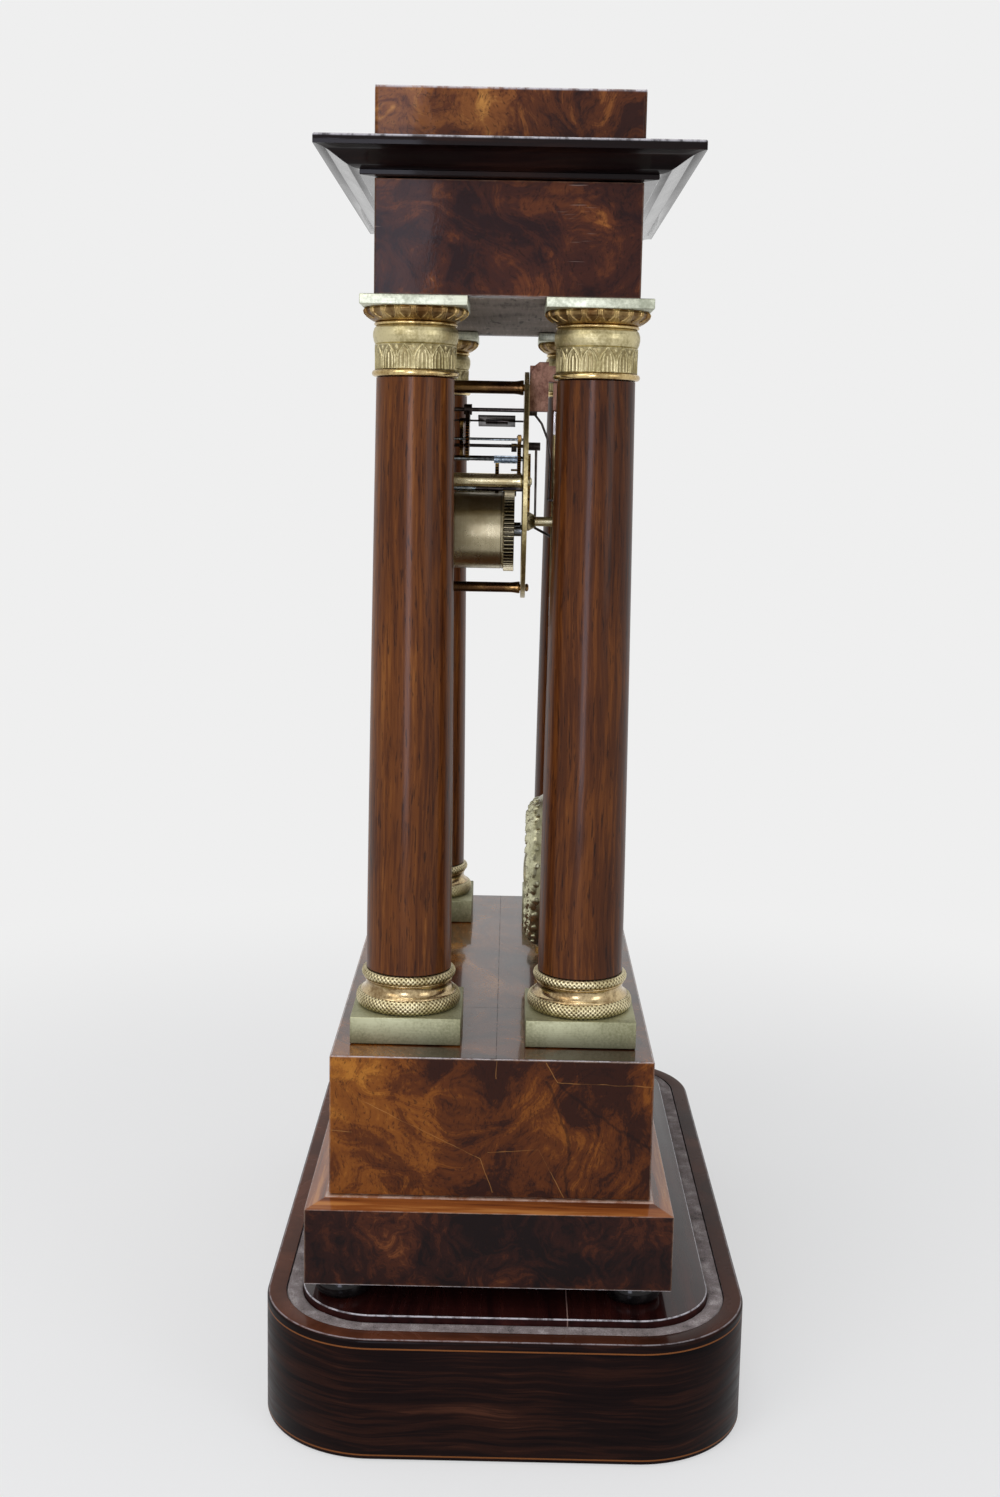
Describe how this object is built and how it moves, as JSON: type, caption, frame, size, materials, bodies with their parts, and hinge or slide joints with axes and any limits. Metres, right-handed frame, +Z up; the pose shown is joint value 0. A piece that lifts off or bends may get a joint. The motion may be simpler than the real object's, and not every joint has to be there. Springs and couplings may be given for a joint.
{
  "type": "portico clock",
  "caption": "Portico mantel clock with columns on a dome stand, with an open round striking movement, pendulum, hands and a hinged bezel.",
  "frame": {"origin": "middle of the stand's underside", "axes": "+Z up, +X along the clock's width, -Y toward the dial, +Y toward the pendulum and bell"},
  "size_m": [0.331, 0.1972, 0.5302],
  "materials": {
    "rosewood": "polished rosewood with pale stringing",
    "ebonised_wood": "glossy black",
    "dark_burr_veneer": "polished dark burr veneer",
    "golden_burr_veneer": "polished golden-brown burr veneer",
    "black_brown_moulding": "polished black-brown moulding",
    "bare_board": "unpolished grey-brown board",
    "mahogany": "polished mahogany",
    "pale_brass": "matt pale brass",
    "gilt_brass": "gilt brass",
    "movement_brass": "brushed brass",
    "steel": "polished steel",
    "blued_steel": "blued steel",
    "bell_metal": "polished bell metal",
    "white_enamel": "white enamel",
    "clear_glass": "clear glass",
    "worn_felt": "worn felt"
  },
  "bodies": {
    "case": {"dome_stand": "rosewood", "groove_felt": "worn_felt", "foot_front_left": "ebonised_wood", "foot_front_right": "ebonised_wood", "foot_back_left": "ebonised_wood", "foot_back_right": "ebonised_wood", "plinth_block": "dark_burr_veneer", "pedestal": "golden_burr_veneer", "column_base_front_left": "pale_brass", "column_shaft_front_left": "mahogany", "capital_front_left": "pale_brass", "column_base_front_right": "pale_brass", "column_shaft_front_right": "mahogany", "capital_front_right": "pale_brass", "column_base_back_left": "pale_brass", "column_shaft_back_left": "mahogany", "capital_back_left": "pale_brass", "column_base_back_right": "pale_brass", "column_shaft_back_right": "mahogany", "capital_back_right": "pale_brass", "frieze": "dark_burr_veneer", "soffit_board": "bare_board", "cornice": "black_brown_moulding", "attic": "dark_burr_veneer", "dial_ring": "pale_brass", "dial": "white_enamel", "front_plate": "movement_brass", "back_plate": "movement_brass", "suspension_cock": "movement_brass", "bell_stud": "movement_brass", "bell": "bell_metal", "bell_nut": "movement_brass"},
    "bezel": {"bezel": "gilt_brass", "dial_glass": "clear_glass"},
    "centre": {"centre_wheel": "movement_brass", "cannon_pinion": "steel", "minute_hand": "blued_steel"},
    "hour": {"hour_wheel": "movement_brass", "hour_hand": "blued_steel"},
    "minute": {"minute_wheel": "movement_brass"},
    "third": {"third_wheel": "movement_brass"},
    "escape": {"escape_wheel": "movement_brass"},
    "going_second": {"going_second_wheel": "movement_brass"},
    "going_barrel": {"going_barrel": "movement_brass"},
    "going_winding": {"going_winding_arbor": "steel"},
    "going_click": {"going_click": "steel"},
    "anchor": {"anchor": "steel", "crutch": "steel"},
    "pendulum": {"pendulum_rod": "steel", "pendulum_bob": "gilt_brass", "rating_nut": "movement_brass"},
    "strike_barrel": {"strike_barrel": "movement_brass"},
    "strike_winding": {"strike_winding_arbor": "steel"},
    "strike_click": {"strike_click": "steel"},
    "strike_second": {"strike_second_wheel": "movement_brass", "count_wheel": "movement_brass"},
    "pin": {"pin_wheel": "movement_brass"},
    "locking": {"locking_wheel": "movement_brass"},
    "fly": {"fly": "movement_brass"},
    "hammer": {"hammer": "steel"}
  },
  "joints": [
    {"name": "third_wheel_turn", "type": "hinge", "parent": "case", "child": "third", "pos_m": [0.0077, -0.0072, 0.39129], "axis": [0, -1, 0], "continuous": true},
    {"name": "escape_wheel_turn", "type": "hinge", "parent": "case", "child": "escape", "pos_m": [0, -0.0072, 0.4001], "axis": [0, -1, 0], "continuous": true},
    {"name": "centre_arbor_turn", "type": "hinge", "parent": "case", "child": "centre", "pos_m": [0, -0.0072, 0.3796], "axis": [0, -1, 0], "continuous": true},
    {"name": "minute_wheel_turn", "type": "hinge", "parent": "case", "child": "minute", "pos_m": [-0.00342, -0.0072, 0.3702], "axis": [0, -1, 0], "continuous": true},
    {"name": "hour_wheel_turn", "type": "hinge", "parent": "case", "child": "hour", "pos_m": [0, -0.0072, 0.3796], "axis": [0, -1, 0], "continuous": true},
    {"name": "going_second_turn", "type": "hinge", "parent": "case", "child": "going_second", "pos_m": [0.01555, -0.0072, 0.37839], "axis": [0, -1, 0], "continuous": true},
    {"name": "going_barrel_turn", "type": "hinge", "parent": "case", "child": "going_barrel", "pos_m": [0.024, -0.0072, 0.3602], "axis": [0, -1, 0], "continuous": true},
    {"name": "going_winding_turn", "type": "hinge", "parent": "case", "child": "going_winding", "pos_m": [0.024, -0.0072, 0.3602], "axis": [0, -1, 0], "continuous": true},
    {"name": "locking_wheel_turn", "type": "hinge", "parent": "case", "child": "locking", "pos_m": [-0.01433, -0.0072, 0.4006], "axis": [0, -1, 0], "continuous": true},
    {"name": "fly_turn", "type": "hinge", "parent": "case", "child": "fly", "pos_m": [-0.01734, -0.0072, 0.4087], "axis": [0, -1, 0], "continuous": true},
    {"name": "pin_wheel_turn", "type": "hinge", "parent": "case", "child": "pin", "pos_m": [-0.02073, -0.0072, 0.3922], "axis": [0, -1, 0], "continuous": true},
    {"name": "strike_second_turn", "type": "hinge", "parent": "case", "child": "strike_second", "pos_m": [-0.0275, -0.0072, 0.37995], "axis": [0, -1, 0], "continuous": true},
    {"name": "strike_barrel_turn", "type": "hinge", "parent": "case", "child": "strike_barrel", "pos_m": [-0.024, -0.0072, 0.3602], "axis": [0, -1, 0], "continuous": true},
    {"name": "strike_winding_turn", "type": "hinge", "parent": "case", "child": "strike_winding", "pos_m": [-0.024, -0.0072, 0.3602], "axis": [0, -1, 0], "continuous": true},
    {"name": "pendulum_swing", "type": "hinge", "parent": "case", "child": "pendulum", "pos_m": [0, 0.0154, 0.4132], "axis": [0, -1, 0], "range_deg": [-5, 5]},
    {"name": "anchor_rock", "type": "hinge", "parent": "case", "child": "anchor", "pos_m": [0, -0.0072, 0.4132], "axis": [0, -1, 0], "range_deg": [-5.01, 5.01]},
    {"name": "hammer_lift", "type": "hinge", "parent": "case", "child": "hammer", "pos_m": [-0.036, 0.0071, 0.3976], "axis": [0, -1, 0], "range_deg": [-14, 0], "stiffness_Nm_per_rad": 0.002, "springref_deg": 28.65},
    {"name": "going_click_lift", "type": "hinge", "parent": "case", "child": "going_click", "pos_m": [0.0293, -0.0372, 0.35102], "axis": [0, -1, 0], "range_deg": [0, 20], "stiffness_Nm_per_rad": 0.00005, "springref_deg": -17.19},
    {"name": "strike_click_lift", "type": "hinge", "parent": "case", "child": "strike_click", "pos_m": [-0.0293, -0.0372, 0.35102], "axis": [0, -1, 0], "range_deg": [-20, 0], "stiffness_Nm_per_rad": 0.00005, "springref_deg": 17.19},
    {"name": "bezel_hinge", "type": "hinge", "parent": "case", "child": "bezel", "pos_m": [-0.0676, -0.05025, 0.3796], "axis": [0, 0, -1], "range_deg": [0, 95]}
  ],
  "couplings": [
    {"joint": "escape_wheel_turn", "follows": "third_wheel_turn", "ratio": -12},
    {"joint": "centre_arbor_turn", "follows": "third_wheel_turn", "ratio": -0.11111},
    {"joint": "minute_wheel_turn", "follows": "third_wheel_turn", "ratio": 0.037037},
    {"joint": "hour_wheel_turn", "follows": "third_wheel_turn", "ratio": -0.0092593},
    {"joint": "going_second_turn", "follows": "third_wheel_turn", "ratio": 0.020202},
    {"joint": "going_barrel_turn", "follows": "third_wheel_turn", "ratio": -0.003367},
    {"joint": "fly_turn", "follows": "locking_wheel_turn", "ratio": -8},
    {"joint": "pin_wheel_turn", "follows": "locking_wheel_turn", "ratio": -0.125},
    {"joint": "strike_second_turn", "follows": "locking_wheel_turn", "ratio": 0.013889},
    {"joint": "strike_barrel_turn", "follows": "locking_wheel_turn", "ratio": -0.0023148},
    {"joint": "anchor_rock", "follows": "pendulum_swing", "ratio": 1}
  ]
}
